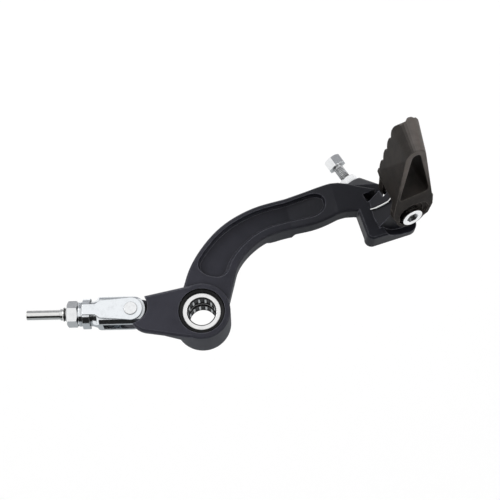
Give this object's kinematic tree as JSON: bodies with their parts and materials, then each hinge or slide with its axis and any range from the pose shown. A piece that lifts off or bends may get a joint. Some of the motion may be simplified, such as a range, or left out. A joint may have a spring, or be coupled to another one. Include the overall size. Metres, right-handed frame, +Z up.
{
  "type": "rear brake pedal",
  "caption": "Off-road motorcycle rear brake pedal: black lever on needle bearings, folding toothed step, stop screw, and a fork joint with push rod.",
  "frame": {"origin": "Middle of the pivot bore, on its axis", "axes": "+X forward from the pivot to the foot step, +Y along the pivot bore towards the motorcycle, +Z up"},
  "size_m": [0.2271, 0.0977, 0.1156],
  "materials": {
    "lever_black": "satin black coat on a forging",
    "step_cast": "dark brown-grey cast steel, grainy, worn brighter at the nose",
    "bearing_steel": "drawn and ground steel",
    "cage_black": "oil-dark cage",
    "needle_steel": "polished rollers",
    "seal_rubber": "matt black rubber",
    "zinc_plate": "bright zinc plate",
    "fork_zinc": "bright zinc plate on a machined fork",
    "clip_steel": "bright plated spring strip",
    "spring_wire": "bright drawn wire",
    "rod_steel": "bright plated rod"
  },
  "bodies": {
    "lever": {"lever_arm": "lever_black", "bearing_cup_outer": "bearing_steel", "bearing_cup_inner": "bearing_steel", "seal_ring_outer": "seal_rubber", "seal_ring_inner": "seal_rubber", "step_bush": "bearing_steel", "step_spring": "spring_wire", "stop_screw": "zinc_plate", "stop_screw_nut": "zinc_plate"},
    "outer_cage": {"needle_cage_outer": "cage_black", "needles_outer": "needle_steel"},
    "inner_cage": {"needle_cage_inner": "cage_black", "needles_inner": "needle_steel"},
    "folding_step": {"step": "step_cast", "step_pivot_bolt": "zinc_plate"},
    "fork_joint": {"clevis_fork": "fork_zinc", "clevis_pin": "zinc_plate", "pin_clip": "clip_steel", "rod_lock_nut": "zinc_plate", "push_rod": "rod_steel"}
  },
  "joints": [
    {"name": "outer_bearing", "type": "hinge", "parent": "lever", "child": "outer_cage", "pos_m": [0, 0, 0], "axis": [0, 1, 0], "continuous": true},
    {"name": "inner_bearing", "type": "hinge", "parent": "lever", "child": "inner_cage", "pos_m": [0, 0, 0], "axis": [0, 1, 0], "continuous": true},
    {"name": "step_fold", "type": "hinge", "parent": "lever", "child": "folding_step", "pos_m": [0.112, -0.0243, 0.0605], "axis": [0.4118, -0.2249, -0.8831], "range_deg": [0, 65], "stiffness_Nm_per_rad": 0.12, "springref_deg": -22.92},
    {"name": "fork_pivot", "type": "hinge", "parent": "lever", "child": "fork_joint", "pos_m": [-0.0398, 0, 0.0026], "axis": [0, 1, 0], "range_deg": [-25, 25]}
  ]
}
